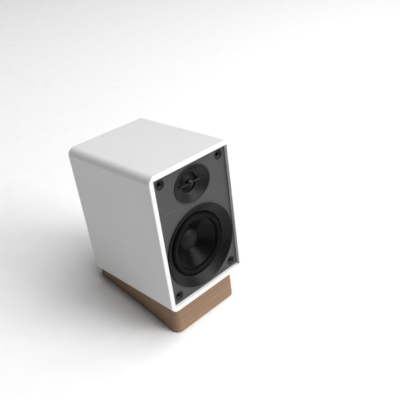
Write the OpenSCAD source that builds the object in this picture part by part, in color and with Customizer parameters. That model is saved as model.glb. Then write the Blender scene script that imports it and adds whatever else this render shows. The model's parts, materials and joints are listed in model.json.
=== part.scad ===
// Powered two-way bookshelf loudspeaker. A cabinet with rounded long edges holds a recessed front
// baffle, a woofer, a tweeter behind an elliptical waveguide, and an amplifier on the rear board.
// A wooden wedge underneath leans the cabinet back.
//
// Everything but the feet is drawn in the cabinet's own frame: X to the right, Y from the plane of
// the front rim towards the back, Z up, origin at the middle of the front rim. cabinet_frame()
// leans that frame back and lifts it onto the stand. The finished model stands on Z = 0.

/* [Cabinet] */
// Width of the cabinet
cab_w = 150; // [150:1:160]
// Height of the cabinet, square to its lean
cab_h = 217; // [216:1:230]
// Depth of the cabinet from front rim to back rim
cab_d = 188; // [184:1:210]
// Radius of the four long outer edges
edge_r = 11.5; // [9:0.5:14]
// Width of the rim around the front baffle
rim_w = 7.4; // [6.8:0.1:7.5]
// Thickness of the cabinet walls
wall_t = 15; // [13:0.5:15]

/* [Front baffle] */
// How far the baffle sits behind the front rim
baffle_recess = 5.2; // [4:0.1:6]
// Thickness of the baffle
baffle_t = 18; // [18:0.5:20]
// Distance of a grille socket from the middle, sideways
socket_x = 54.3; // [53:0.1:55]
// Distance of a grille socket from the middle, up or down
socket_z = 89.7; // [88:0.1:90]
// Radius of the hole that takes a grille peg
socket_bore_r = 2.5; // [2:0.1:3]

/* [Woofer] */
// Height of the woofer above the middle of the front
woofer_z = -32; // [-33:0.5:-31]
// Outer radius of the trim ring
trim_r = 64; // [63:0.5:64]
// Furthest that the cone moves each way
cone_travel = 3; // [2:0.5:3]
// Radius of the magnet
magnet_r = 40; // [35:1:42]

/* [Tweeter] */
// Height of the tweeter above the middle of the front
tweeter_z = 68; // [67:0.5:69]
// Half width of the elliptical waveguide
guide_a = 33; // [32:0.5:34]
// Half height of the elliptical waveguide
guide_b = 27; // [26.5:0.5:28]
// Radius of the throat in front of the dome
throat_r = 15.5; // [15.4:0.1:16]

/* [Rear] */
// Height of the port above the middle of the back
port_z = 64; // [60:1:66]
// Inner radius of the port tube
port_r = 16.5; // [14:0.5:17]
// Length of the port tube
port_len = 70; // [50:5:90]
// Height of the middle of the amplifier plate
amp_z = -34; // [-36:1:-33]

/* [Stand] */
// Angle that the cabinet leans back
lean = 10; // [6:0.5:11]
// Height of the wedge, measured down from the plane of the front rim
wedge_h = 55.6; // [50:0.1:62]
// Width of the wedge
wedge_w = 126; // [110:1:130]
// Set-back of the wedge's front behind the front rim
wedge_front = 13.7; // [8:0.1:20]
// Distance of the wedge's back behind the front rim
wedge_back = 206; // [190:1:208]
// Radius of the wedge's upright edges
wedge_r = 11; // [6:0.5:14]

/* [Hidden] */
$fn = 96;
eps = 0.1;
gap = 0.4;       // between pieces that move past each other
slip = 0.05;     // radial play of a running fit
fit = 0.2;       // play of a panel in its rebate

// cabinet
pocket_w = cab_w - 2 * rim_w;
pocket_h = cab_h - 2 * rim_w;
inner_w = cab_w - 2 * wall_t;
inner_h = cab_h - 2 * wall_t;
baffle_y = baffle_recess;
baffle_back = baffle_y + baffle_t;
ledge_x = (inner_w + pocket_w) / 4;
corner_block_leg = 17;
corner_block_len = 20;
corner_block_root = 1;
rear_recess = 3;
board_t = 12;
board_back = cab_d - rear_recess;
board_y = board_back - board_t;
board_screw_z = 90;
board_screw_r = 1.6;
board_screw_len = 24;
rear_head_h = 1.8;
cross_len = 3.4;
cross_w = 0.8;
cross_depth = 0.9;
wadding_w = 100;
wadding_h = 17;
wadding_y = 60;
wadding_len = 78;

// screws through the flanges of the drivers
screw_r = 1.75;
screw_head_r = 2.8;
screw_head_h = 2.4;

// woofer, as depths behind the front rim
trim_y = 2.9;
trim_in_r = 49.7;
trim_bevel = 0.6;
dish_y = 12.2;
lip_t = 0.8;
flange_t = 1.6;
seat_y = 16.2;
flange_y = seat_y - flange_t;
lip_y = flange_y - lip_t;
rebate_r = 61;
basket_r = 60.8;
basket_wall_r = 48.6;
basket_slope_y = 22.5;
basket_slope_end = 36;
basket_windows = 6;
window_w = 24;
window_depth = 16;
cut_r = 50.6;
roll_r = 4.6;
roll_mid_r = 44.1;
lip_out_r = 52.8;
gasket_in_r = 53.2;
cone_lip_r = 40.3;
cone_edge_r = 37.6;
cone_neck_y = 33.2;
cone_t = 1;
coil_in_r = 12.5;
former_t = 0.2;
former_r = coil_in_r + former_t;
coil_r = 13.2;
former_y = 32;
former_end = 55.5;
coil_y = 43;
plate_y = coil_y + cone_travel;
plate_t = 6;
coil_end = plate_y + plate_t + cone_travel;
cap_r = 16;
cap_h = 5;
cap_y = 30.6;
spider_y = 38;
spider_r = 38.2;
spider_ledge_r = 33.5;
spider_t = 0.6;
spider_wave = 0.9;
spider_waves = 4;
spider_steps = 32;
plate_r = magnet_r - 3;
magnet_t = 14;
magnet_in_r = 16.5;
pole_r = 12.1;
vent_r = 4;
yoke_y = plate_y + plate_t + magnet_t;
yoke_t = 6;
woofer_screw_ring = 57.3;
woofer_screw_end = 22.6;
strip_x = spider_r + 6;
strip_w = 12;
strip_h = 16;
tag_x = 47;
tag_z = 5;
tag_end = spider_y + 6;

// tweeter, as depths behind the front rim
guide_y = 3.7;
guide_lip = 1.4;
guide_edge = 0.3;
guide_back = 17;
guide_step_y = 12;
guide_rings = 5;
guide_sides = 48;
guide_flare = 1.4;
throat_y = 14;
barrel_r = 24.5;
tweeter_cut_r = 24.8;
dome_r = 12.6;
dome_h = 5;
dome_y = 17.2;
dome_t = 0.4;
dome_former_end = 23;
dome_coil_y = 18;
dome_coil_end = 22;
suspension_r = 19;
suspension_t = 0.5;
tplate_y = guide_back + suspension_t;
tplate_t = 4;
tmagnet_t = 10;
tmagnet_r = 23;
tmagnet_in_r = 15;
tyoke_y = tplate_y + tplate_t + tmagnet_t;
tyoke_t = 5;
tpole_r = 12.15;
tpole_y = 18.8;
cup_end = 46;
cup_t = 0.8;
plug_y = 3.4;
plug_base_y = 11.3;
plug_r = 5.4;
plug_nose_r = 0.8;
bar_x = 18.4;
bar_w = 1.6;
bar_y = 8.6;
bar_end_y = 10.8;
bar_leg = 2.6;
tweeter_screw_x = 28.4;
tweeter_screw_r = 1.2;
tweeter_screw_tip = 8.4;
tweeter_head_r = 2.3;
tweeter_head_h = 2;

// grille sockets and indicator lights
socket_r = 7.5;
socket_depth = 12;
socket_proud = 0.4;
socket_edge = 0.9;
socket_draft = 0.15; // the moulded body narrows by this much towards its back
socket_bore_y = baffle_y + 3;
socket_bore_end = baffle_y + 10;
light_x = [-52, -45, -38];
light_z = 43;
light_r = 1;
light_board_edge = 4;
light_board_h = 9;

// port
port_t = 2;
flare_r = 8;
port_flange_r = port_r + flare_r + 4.5;
port_cut_r = port_r + flare_r + eps;

// amplifier plate, circuit boards and what stands on them
amp_w = 108;
amp_h = 118;
amp_t = 2;
amp_corner_r = 4;
amp_cut_w = 90;
amp_cut_h = 104;
amp_y = board_back;
amp_face = amp_y + amp_t;
amp_screw_x = 49.5;
amp_screw_z = 55.5;
pcb_t = 1.6;
pcb_back = amp_y - 18.4;
pcb_y = pcb_back - pcb_t;
pcb_w = 84;
amp_pcb_h = 62;
power_pcb_h = 40;
amp_pcb_z = amp_z + 21;
power_pcb_z = amp_z - 32;
standoff_in = 4;
standoff_x = pcb_w / 2 - standoff_in;
standoff_z = amp_pcb_h / 2 - standoff_in;
standoff_mid_x = 2;
standoff_r = 3;
board_hole_r = 1.5;
board_head_h = 2;
sink_w = 60;
sink_h = 34;
sink_base = 4;
sink_depth = 26;
fins = 9;
fin_t = 1.6;
transformer_x = -20;
core_w = 28;
core_h = 24;
core_feet = 4;
core_t = 18;
winding_w = 20;
winding_h = 30;
winding_t = 20;
capacitor_x = [12, 30];
capacitor_r = 8;
capacitor_len = 30;

// controls and sockets: three rows on the plate
row1_z = amp_z + 38;
row2_z = amp_z;
row3_z = amp_z - 36;
knob_x = 36;
button_x = 17;
aux_x = 5;
rca_x = [-9, -23, -37];
post_x = [36, 17];
inlet_x = -20;
rocker_x = 27;
bezel_t = 1.8;

pot_w = 12;
pot_depth = 9;
pot_floor = 1;
bushing_r = 3.5;
bushing_end = amp_face + 4.5;
nut_r = 6;
nut_h = 2.2;
shaft_r = 3;
knob_r = 11;
knob_len = 14;
knob_y = amp_face + 1;
knob_end = knob_y + knob_len;
knob_top = 2;
knob_hollow_r = 7.5;
knob_ribs = 24;
rib_w = 1;
rib_h = 0.7;
pointer_w = 1.2;
pointer_h = 0.6;

button_r = 4;
button_travel = 0.7;
button_rise = 3;
collar_r = button_r + 1.2;
collar_y = amp_y - 2;
collar_t = 1.5;
stem_r = 1.8;
switch_w = 6;
switch_h = 3.5;

rocker_tilt = 8;
rocker_w = 13;
rocker_h = 20.4;
rocker_in_w = 11.6;
rocker_in_h = 18.6;
rocker_back = amp_y - 13;
rocker_floor = 2;
rocker_bezel = 1.5;
rocker_y = amp_face - 1;
rocker_pin_r = 1.2;
rocker_side = [[3.6, -8], [1.9, 0], [3.6, 8], [-1.5, 8], [-4.5, 3], [-4.5, -3], [-1.5, -8]];

inlet_w = 24;
inlet_h = 14;
inlet_back = amp_y - 15;
inlet_floor = inlet_back + 4;
inlet_bezel = 2.5;
inlet_pin_x = 4.3;
inlet_pin_r = 1.2;
inlet_lobe_r = 4.3;

rca_r = 4.15;
rca_in_r = 3.5;
rca_pin_r = 1.6;
rca_pin_t = 0.8;
rca_len = 9;
rca_neck_r = 3.9;
rca_root = amp_face + 1;
rca_pin_end = rca_root + rca_len - 1;
rca_block_w = 11;
rca_block_h = 12;
aux_block_w = 9;
aux_block_h = 11;
aux_nose_r = 3.9;
aux_nose_end = amp_face + 6.5;
aux_bore_r = 1.75;
aux_bore_y = aux_nose_end - 5.3;
aux_chamber_r = 2.3;

post_r = 3;
post_sleeve_r = 4.5;
post_disc_r = 7;
post_disc_t = 3;
post_end = amp_face + 17;
post_cap_y = amp_face + 3.6;
banana_r = 2;
banana_len = 15;
cap_out_r = 6.4;
flutes = 12;
flute_r = 1.2;

// wires from the amplifier board to the drivers
lead_r = 1.1;
woofer_lead_route = [
    [40, pcb_y, -4], [40, 150, -4], [56, 135, -10], [56, 60, -27], [tag_x, 50, woofer_z + tag_z],
    [tag_x, tag_end, woofer_z + tag_z]
];
tweeter_lead_route = [
    [-40, pcb_y, 4], [-40, 150, 4], [-56, 135, 10], [-56, 70, 50], [-12, 58, tweeter_z],
    [-12, cup_end, tweeter_z]
];

// stand
pad_t = 1;
pad_inset = 3;
foot_h = 1.5;
foot_r = 7;
foot_sink = 1;
foot_x = 48;
foot_y = [-90, 66];
bolt_y = [60, 150];
bolt_r = 3;
insert_r = 4.5;
insert_len = 12;
bolt_grip = 12;
bolt_head_h = 5;
bolt_head_r = 5;
hex_r = 2.9;
hex_floor = 2;
access_r = 6.5;
base_z = -cab_h / 2;
lift_z = (cab_h / 2 + wedge_h) * cos(lean) + foot_h;
shift_y = -cab_d * cos(lean) / 2;

// ---------- frames and shapes used by many pieces ----------

// the leaning cabinet's frame
module cabinet_frame() translate([0, shift_y, lift_z]) rotate([-lean, 0, 0]) children();

// a panel of 2D shape (x, z), between the depths y0 and y1
module panel(y0, y1) translate([0, y1, 0]) rotate([90, 0, 0]) linear_extrude(y1 - y0) children();

// turns a shape about the axis through (x, z) that runs front to back; its 2D points are
// [radius, depth]
module turned(x, z) translate([x, 0, z]) rotate([-90, 0, 0]) rotate_extrude() children();

// a round bar of radius r between the depths y0 and y1
module bar_y(x, z, r, y0, y1) translate([x, y0, z]) rotate([-90, 0, 0]) cylinder(h = y1 - y0, r = r);

// a box given by its middle in x and z, its size in x and z, and two depths
module block(x, z, w, h, y0, y1) translate([x - w / 2, y0, z - h / 2]) cube([w, y1 - y0, h]);

// a 2D rectangle by its low and high corners
module span(a, b) translate(a) square(b - a);

// a rectangle with round corners
module round_rect(w, h, r) {
    square([w - 2 * r, h], center = true);
    square([w, h - 2 * r], center = true);
    for (x = [-1, 1], z = [-1, 1]) translate([x * (w / 2 - r), z * (h / 2 - r)]) circle(r);
}

// one copy in each corner of a rectangle with the half sides x and z
module corners(x, z) for (i = [-1, 1], j = [-1, 1]) translate([i * x, 0, j * z]) children();

// a closed solid through rings of points; each ring runs from +X towards +Z
module skin(rings) {
    n = len(rings[0]);
    last = len(rings) - 1;
    polyhedron(
        points = [for (ring = rings) each ring],
        faces = concat(
            [[for (i = [n - 1:-1:0]) i]],
            [for (k = [0:last - 1], i = [0:n - 1])
                [k * n + i, k * n + (i + 1) % n, (k + 1) * n + i]],
            [for (k = [0:last - 1], i = [0:n - 1])
                [k * n + (i + 1) % n, (k + 1) * n + (i + 1) % n, (k + 1) * n + i]],
            [[for (i = [0:n - 1]) last * n + i]]
        )
    );
}

// outline of an ellipse
function ellipse(a, b, n = 72) = [for (i = [0:n - 1]) [a * cos(360 * i / n), b * sin(360 * i / n)]];

// ---------- cabinet ----------

module rear_screw_places() {
    corners(ledge_x, board_screw_z) children();
    for (i = [-1, 1]) translate([i * ledge_x, 0, 0]) children();
}

module amp_screw_places() translate([0, 0, amp_z]) {
    corners(amp_screw_x, amp_screw_z) children();
    for (i = [-1, 1]) translate([i * amp_screw_x, 0, 0]) children();
}

// a triangular glue block in each corner of the cavity, behind the grille sockets
module corner_blocks() panel(baffle_back - corner_block_root, baffle_back + corner_block_len)
    for (i = [-1, 1], j = [-1, 1]) scale([i, j])
        translate([inner_w / 2 + corner_block_root, inner_h / 2 + corner_block_root])
            polygon([[0, 0], [-corner_block_leg, 0], [0, -corner_block_leg]]);

module cabinet_shell() color([0.95, 0.95, 0.94]) cabinet_frame() difference() {
    panel(0, cab_d) round_rect(cab_w, cab_h, edge_r);
    panel(-eps, baffle_back) square([pocket_w, pocket_h], center = true);
    difference() {
        panel(baffle_back - eps, board_y + eps) square([inner_w, inner_h], center = true);
        corner_blocks();
    }
    panel(board_y, cab_d + eps) square([pocket_w, pocket_h], center = true);
    rear_screw_places() bar_y(0, 0, board_screw_r, board_back - board_screw_len, cab_d);
    for (y = bolt_y) translate([0, y, base_z - eps]) cylinder(h = insert_len + 1 + eps, r = insert_r);
}

// the seat in the baffle for the drafted body of a grille socket
module socket_seat() turned(0, 0) polygon([
    [0, baffle_y - eps], [socket_r, baffle_y - eps], [socket_r, baffle_y],
    [socket_r - socket_draft, baffle_y + socket_depth], [0, baffle_y + socket_depth]
]);

module front_baffle() color([0.33, 0.33, 0.335]) cabinet_frame() difference() {
    panel(baffle_y, baffle_back) square([pocket_w - fit, pocket_h - fit], center = true);
    // woofer seat and cut-out
    bar_y(0, woofer_z, rebate_r, baffle_y - eps, seat_y);
    bar_y(0, woofer_z, cut_r, seat_y - eps, baffle_back + eps);
    woofer_screw_places() bar_y(0, 0, screw_r, seat_y - eps, woofer_screw_end);
    // tweeter seat and cut-out
    panel(baffle_y - eps, guide_step_y + gap)
        translate([0, tweeter_z]) polygon(ellipse(guide_a - guide_lip, guide_b - guide_lip));
    bar_y(0, tweeter_z, tweeter_cut_r, guide_step_y, baffle_back + eps);
    for (i = [-1, 1])
        bar_y(i * tweeter_screw_x, tweeter_z, tweeter_screw_r, guide_step_y, baffle_back + eps);
    // grille sockets and indicator lights
    corners(socket_x, socket_z) socket_seat();
    for (x = light_x) bar_y(x, light_z, light_r, baffle_y - eps, baffle_back + eps);
}

module rear_board() color([0.13, 0.13, 0.135]) cabinet_frame() difference() {
    panel(board_y, board_back) square([pocket_w - fit, pocket_h - fit], center = true);
    bar_y(0, port_z, port_cut_r, board_y - eps, board_back + eps);
    block(0, amp_z, amp_cut_w, amp_cut_h, board_y - eps, board_back + eps);
    rear_screw_places() bar_y(0, 0, board_screw_r, board_y - eps, board_back + eps);
    amp_screw_places() bar_y(0, 0, board_screw_r, board_y + 1, board_back + eps);
}

// a pan-head screw with a cross recess, its head on the depth y and its tip at the depth tip
module rear_screw(y, tip) {
    difference() {
        bar_y(0, 0, screw_head_r, y, y + rear_head_h);
        for (turn = [0, 90]) rotate([0, turn, 0])
            block(0, 0, cross_len, cross_w, y + rear_head_h - cross_depth, y + rear_head_h + eps);
    }
    bar_y(0, 0, board_screw_r, tip, y);
}

module rear_screws() color([0.1, 0.1, 0.1]) cabinet_frame() {
    rear_screw_places() rear_screw(board_back, board_back - board_screw_len + 1);
    amp_screw_places() rear_screw(amp_face, board_y + 2);
}

// polyester wadding on the cavity floor
module wadding() color([0.9, 0.9, 0.88]) cabinet_frame()
    block(0, (wadding_h - inner_h) / 2, wadding_w, wadding_h, wadding_y, wadding_y + wadding_len);

module base_inserts() color([0.78, 0.62, 0.3]) cabinet_frame() for (y = bolt_y)
    translate([0, y, base_z]) difference() {
        cylinder(h = insert_len, r = insert_r);
        translate([0, 0, -eps]) cylinder(h = insert_len + 2 * eps, r = bolt_r);
    }

// ---------- woofer ----------

module woofer_screw_places() translate([0, 0, woofer_z])
    for (turn = [45:90:315]) rotate([0, turn, 0]) translate([woofer_screw_ring, 0, 0]) children();

module woofer_trim_ring() color([0.11, 0.11, 0.11]) cabinet_frame() difference() {
    turned(0, woofer_z) polygon([
        [trim_in_r, dish_y], [trim_r - trim_bevel, trim_y], [trim_r, trim_y + trim_bevel], [trim_r, baffle_y],
        [rebate_r - fit, baffle_y], [rebate_r - fit, lip_y], [trim_in_r, lip_y]
    ]);
    woofer_screw_places() bar_y(0, 0, screw_head_r + gap, flange_y - screw_head_h - gap, flange_y);
}

module woofer_gasket() color([0.06, 0.06, 0.06]) cabinet_frame() difference() {
    turned(0, woofer_z) span([gasket_in_r, lip_y], [basket_r, flange_y]);
    woofer_screw_places() bar_y(0, 0, screw_head_r + fit, lip_y - eps, flange_y + eps);
}

// flange, sloping wall with windows, spider ledge and floor of the pressed steel basket
module woofer_basket() color([0.16, 0.16, 0.17]) cabinet_frame() difference() {
    spider_seat_r = spider_r + fit;
    floor_in_r = coil_r + 3 * gap;
    turned(0, woofer_z) polygon([
        [basket_wall_r, flange_y], [basket_r, flange_y], [basket_r, seat_y],
        [basket_wall_r + flange_t, seat_y], [basket_wall_r + flange_t, basket_slope_y + flange_t / 3],
        [spider_seat_r + flange_t, basket_slope_end + flange_t / 2],
        [spider_seat_r + flange_t, spider_y + flange_t],
        [spider_ledge_r + flange_t, spider_y + flange_t], [spider_ledge_r + flange_t, plate_y],
        [floor_in_r, plate_y], [floor_in_r, plate_y - flange_t],
        [spider_ledge_r, plate_y - flange_t], [spider_ledge_r, spider_y], [spider_seat_r, spider_y],
        [spider_seat_r, basket_slope_end], [basket_wall_r, basket_slope_y]
    ]);
    translate([0, 0, woofer_z]) for (i = [0:basket_windows - 1]) rotate([0, i * 360 / basket_windows, 0])
        block(basket_wall_r - 3.5, 0, window_depth, window_w, basket_slope_y + 1, basket_slope_end - 1);
    woofer_screw_places() bar_y(0, 0, screw_r + fit, flange_y - eps, seat_y + eps);
}

// half roll of rubber with a flat lip on each side
module woofer_surround() color([0.07, 0.07, 0.07]) cabinet_frame() turned(0, woofer_z) {
    difference() {
        translate([roll_mid_r, flange_y]) circle(roll_r);
        translate([roll_mid_r, flange_y]) circle(roll_r - lip_t);
        span([0, flange_y], [rebate_r, flange_y + 2 * roll_r]);
    }
    span([roll_mid_r + roll_r - lip_t, lip_y], [lip_out_r, flange_y]);
    span([cone_edge_r, lip_y], [roll_mid_r - roll_r + lip_t, flange_y]);
}

module woofer_cone() color([0.1, 0.1, 0.1]) cabinet_frame() turned(0, woofer_z) polygon([
    [cone_lip_r, flange_y], [cone_lip_r, flange_y + cone_t], [cone_edge_r - gap, flange_y + cone_t],
    [former_r, cone_neck_y + 1.2 * cone_t], [former_r, cone_neck_y], [cone_edge_r, flange_y]
]);

// a thin spherical cap of base radius r and height h, its rim at the depth y
module shallow_cap(r, h, y, t) {
    ball_r = (r * r + h * h) / (2 * h);
    intersection() {
        difference() {
            translate([0, y - h + ball_r, 0]) sphere(ball_r);
            translate([0, y - h + ball_r, 0]) sphere(ball_r - t);
        }
        bar_y(0, 0, r, y - h - eps, y);
    }
}

module woofer_dust_cap() color([0.15, 0.15, 0.15]) cabinet_frame()
    translate([0, 0, woofer_z]) shallow_cap(cap_r, cap_h, cap_y, lip_t);

module woofer_former() color([0.75, 0.7, 0.5]) cabinet_frame()
    turned(0, woofer_z) span([coil_in_r, former_y], [former_r, former_end]);

module woofer_voice_coil() color([0.72, 0.4, 0.2]) cabinet_frame()
    turned(0, woofer_z) span([former_r, coil_y], [coil_r, coil_end]);

// corrugated cloth disc: waves from the collar to the flat rim on the basket's ledge
module woofer_spider() color([0.75, 0.6, 0.25]) cabinet_frame() turned(0, woofer_z) {
    collar_r = former_r + slip;
    wave = [for (i = [0:spider_steps]) [
        collar_r + (spider_ledge_r - collar_r) * i / spider_steps,
        spider_y - spider_t - spider_wave * (1 - cos(360 * spider_waves * i / spider_steps)) / 2
    ]];
    last = len(wave) - 1;
    polygon(concat(
        wave, [[spider_r, spider_y - spider_t], [spider_r, spider_y]],
        [for (i = [last:-1:0]) wave[i] + [0, spider_t]]
    ));
}

module woofer_top_plate() color([0.5, 0.5, 0.52]) cabinet_frame()
    turned(0, woofer_z) span([coil_r + gap, plate_y], [plate_r, plate_y + plate_t]);

module woofer_magnet() color([0.2, 0.2, 0.21]) cabinet_frame()
    turned(0, woofer_z) span([magnet_in_r, plate_y + plate_t], [magnet_r, yoke_y]);

module woofer_pole_piece() color([0.5, 0.5, 0.52]) cabinet_frame() turned(0, woofer_z) {
    span([vent_r, plate_y], [pole_r, yoke_y + yoke_t]);
    span([vent_r, yoke_y], [plate_r, yoke_y + yoke_t]);
}

// insulating strip on the side of the basket, with two solder tags
module woofer_terminals() color([0.55, 0.4, 0.2]) cabinet_frame() translate([0, 0, woofer_z])
    difference() {
        union() {
            block(strip_x, 0, strip_w, strip_h, spider_y, spider_y + flange_t);
            for (i = [-1, 1]) block(tag_x, i * tag_z, 1, 3, spider_y + flange_t, tag_end);
        }
        bar_y(0, 0, spider_r + fit + flange_t, spider_y - eps, spider_y + flange_t + eps);
    }

// ---------- tweeter ----------

// the hollow in front of the dome: rings that go from the ellipse at the lip to the round throat
module guide_hollow() {
    function open(k) = 1 - k / guide_rings;
    mouth_y = guide_y + guide_edge;
    function depth(k) = mouth_y + (throat_y - mouth_y) * (1 - pow(open(k), guide_flare));
    rings = [for (k = [-1:guide_rings + 1])
        let (s = open(min(max(k, 0), guide_rings)))
        let (y = k < 0 ? guide_y - 2 : k > guide_rings ? guide_back + 1 : depth(k))
        [for (p = ellipse(throat_r + (guide_a - guide_lip - throat_r) * s,
                          throat_r + (guide_b - guide_lip - throat_r) * s, guide_sides))
            [p[0], y, p[1]]]];
    skin(rings);
}

module tweeter_waveguide() color([0.13, 0.13, 0.135]) cabinet_frame()
    translate([0, 0, tweeter_z]) difference() {
        union() {
            panel(guide_y, baffle_y) polygon(ellipse(guide_a, guide_b));
            panel(guide_y + 1, guide_step_y)
                polygon(ellipse(guide_a - guide_lip - fit, guide_b - guide_lip - fit));
            bar_y(0, 0, barrel_r, guide_step_y - eps, guide_back);
        }
        guide_hollow();
        for (i = [-1, 1])
            bar_y(i * tweeter_screw_x, 0, tweeter_screw_r, tweeter_screw_tip - fit, guide_step_y + eps);
    }

// bullet in front of the dome, carried by a thin bar whose two legs stand on the waveguide
module phase_plug() color([0.18, 0.18, 0.18]) cabinet_frame() translate([0, 0, tweeter_z]) {
    turned(0, 0) polygon([[0, plug_y], [plug_nose_r, plug_y + plug_nose_r / 2], [plug_r, plug_base_y - 1],
        [plug_r - plug_nose_r, plug_base_y], [0, plug_base_y]]);
    intersection() {
        union() {
            block(0, 0, 2 * bar_x, bar_w, bar_y, bar_end_y);
            for (i = [-1, 1]) block(i * (bar_x - bar_leg / 2), 0, bar_leg, bar_w, bar_y, throat_y);
        }
        guide_hollow();
    }
}

module tweeter_dome() color([0.08, 0.08, 0.09]) cabinet_frame()
    translate([0, 0, tweeter_z]) shallow_cap(dome_r, dome_h, dome_y, dome_t);

module tweeter_suspension() color([0.08, 0.08, 0.08]) cabinet_frame() turned(0, tweeter_z) {
    roll_in = former_r + eps;
    roll_out = throat_r - fit;
    mid = (roll_in + roll_out) / 2;
    roll = (roll_out - roll_in) / 2;
    difference() {
        translate([mid, guide_back + suspension_t]) circle(roll);
        translate([mid, guide_back + suspension_t]) circle(roll - suspension_t);
        span([0, guide_back + suspension_t], [suspension_r, guide_back + 2 * roll]);
    }
    span([mid + roll - suspension_t, guide_back], [suspension_r, guide_back + suspension_t]);
}

// thin former with the copper winding on its rear half
module tweeter_voice_coil() color([0.72, 0.4, 0.2]) cabinet_frame() turned(0, tweeter_z) {
    span([coil_in_r, dome_y], [former_r, dome_former_end]);
    span([former_r, dome_coil_y], [coil_r, dome_coil_end]);
}

module tweeter_top_plate() color([0.5, 0.5, 0.52]) cabinet_frame()
    turned(0, tweeter_z) span([coil_r + gap, tplate_y], [barrel_r - cup_t - fit, tplate_y + tplate_t]);

module tweeter_magnet() color([0.2, 0.2, 0.21]) cabinet_frame()
    turned(0, tweeter_z) span([tmagnet_in_r, tplate_y + tplate_t], [tmagnet_r, tyoke_y]);

module tweeter_pole_piece() color([0.5, 0.5, 0.52]) cabinet_frame() turned(0, tweeter_z) {
    span([vent_r, tpole_y], [tpole_r, tyoke_y + tyoke_t]);
    span([vent_r, tyoke_y], [tmagnet_r - 1, tyoke_y + tyoke_t]);
}

module tweeter_rear_cup() color([0.12, 0.12, 0.12]) cabinet_frame() turned(0, tweeter_z) {
    span([barrel_r - cup_t, guide_back], [barrel_r, cup_end]);
    span([0, cup_end - 2 * cup_t], [barrel_r, cup_end]);
}

// four screws hold the woofer from the front, two hold the waveguide from behind the baffle
module driver_screws() color([0.1, 0.1, 0.1]) cabinet_frame() {
    woofer_screw_places() {
        bar_y(0, 0, screw_head_r, flange_y - screw_head_h, flange_y);
        bar_y(0, 0, screw_r, flange_y - eps, woofer_screw_end);
    }
    for (i = [-1, 1]) translate([i * tweeter_screw_x, 0, tweeter_z]) {
        bar_y(0, 0, tweeter_screw_r, tweeter_screw_tip, baffle_back);
        bar_y(0, 0, tweeter_head_r, baffle_back, baffle_back + tweeter_head_h);
    }
}

// a wire of radius r along a route: an eight-sided ring at each point, square to its direction
module wire(route, r) {
    last = len(route) - 1;
    function unit(v) = v / norm(v);
    skin([for (i = [0:last])
        let (ahead = unit(route[min(i + 1, last)] - route[max(i - 1, 0)]))
        let (up = unit(cross([1, 0, 0], ahead)), across = cross(ahead, up))
        [for (turn = [0:45:315]) route[i] + r * (cos(turn) * across + sin(turn) * up)]]);
}

module driver_leads() color([0.6, 0.1, 0.1]) cabinet_frame() {
    wire(woofer_lead_route, lead_r);
    wire(tweeter_lead_route, lead_r);
}

// ---------- front details ----------

// funnel-mouthed cups that hold the pegs of a grille
module grille_sockets() color([0.12, 0.12, 0.12]) cabinet_frame() corners(socket_x, socket_z)
    turned(0, 0) polygon([
        [socket_r - socket_edge, baffle_y - socket_proud], [socket_r, baffle_y],
        [socket_r - socket_draft, baffle_y + socket_depth], [0, baffle_y + socket_depth],
        [0, socket_bore_end], [socket_bore_r, socket_bore_end],
        [socket_bore_r, socket_bore_y]
    ]);

module indicator_lights() color([0.8, 0.82, 0.85]) cabinet_frame()
    for (x = light_x) bar_y(x, light_z, light_r, baffle_y - fit, baffle_back);

module indicator_board() color([0.05, 0.3, 0.15]) cabinet_frame()
    block(light_x[1], light_z, light_x[2] - light_x[0] + 2 * light_board_edge, light_board_h,
        baffle_back, baffle_back + pcb_t);

// ---------- rear ----------

// straight tube that flares to a flange on the rear board
module port_tube() color([0.09, 0.09, 0.09]) cabinet_frame() turned(0, port_z) {
    flare_y = amp_face - flare_r;
    span([port_r, amp_face - port_len], [port_r + port_t, flare_y]);
    intersection() {
        difference() {
            translate([port_r + flare_r, flare_y]) circle(flare_r);
            translate([port_r + flare_r, flare_y]) circle(flare_r - port_t);
        }
        span([port_r, flare_y], [port_r + flare_r, amp_face]);
    }
    span([port_r + flare_r, amp_y], [port_flange_r, amp_face]);
}

module amp_plate() color([0.1, 0.1, 0.105]) cabinet_frame() difference() {
    panel(amp_y, amp_face) translate([0, amp_z]) round_rect(amp_w, amp_h, amp_corner_r);
    amp_screw_places() bar_y(0, 0, board_screw_r, amp_y - eps, amp_face + eps);
    plate_hole(knob_x, row1_z, bushing_r + slip);
    plate_hole(button_x, row1_z, button_r + fit);
    plate_hole(aux_x, row1_z, aux_nose_r + slip);
    for (x = rca_x) plate_hole(x, row1_z, rca_r + gap);
    for (x = post_x) plate_hole(x, row2_z, post_sleeve_r);
    block(inlet_x, row3_z, inlet_w, inlet_h, amp_y - eps, amp_face + eps);
    block(rocker_x, row3_z, rocker_w, rocker_h, amp_y - eps, amp_face + eps);
}

module plate_hole(x, z, r) bar_y(x, z, r, amp_y - eps, amp_face + eps);

module amp_board() color([0.05, 0.3, 0.15]) cabinet_frame() difference() {
    block(0, amp_pcb_z, pcb_w, amp_pcb_h, pcb_y, pcb_back);
    standoff_places() bar_y(0, 0, board_hole_r, pcb_y - eps, pcb_back + eps);
}

module power_board() color([0.45, 0.33, 0.12]) cabinet_frame() difference() {
    block(0, power_pcb_z, pcb_w, power_pcb_h, pcb_y, pcb_back);
    standoff_places() bar_y(0, 0, board_hole_r, pcb_y - eps, pcb_back + eps);
}

module standoff_places() {
    translate([0, 0, amp_pcb_z]) {
        for (i = [-1, 1]) translate([i * standoff_x, 0, standoff_z]) children();
        for (x = [-standoff_x, standoff_mid_x]) translate([x, 0, -standoff_z]) children();
    }
    translate([0, 0, power_pcb_z]) corners(standoff_x, power_pcb_h / 2 - standoff_in) children();
}

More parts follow.
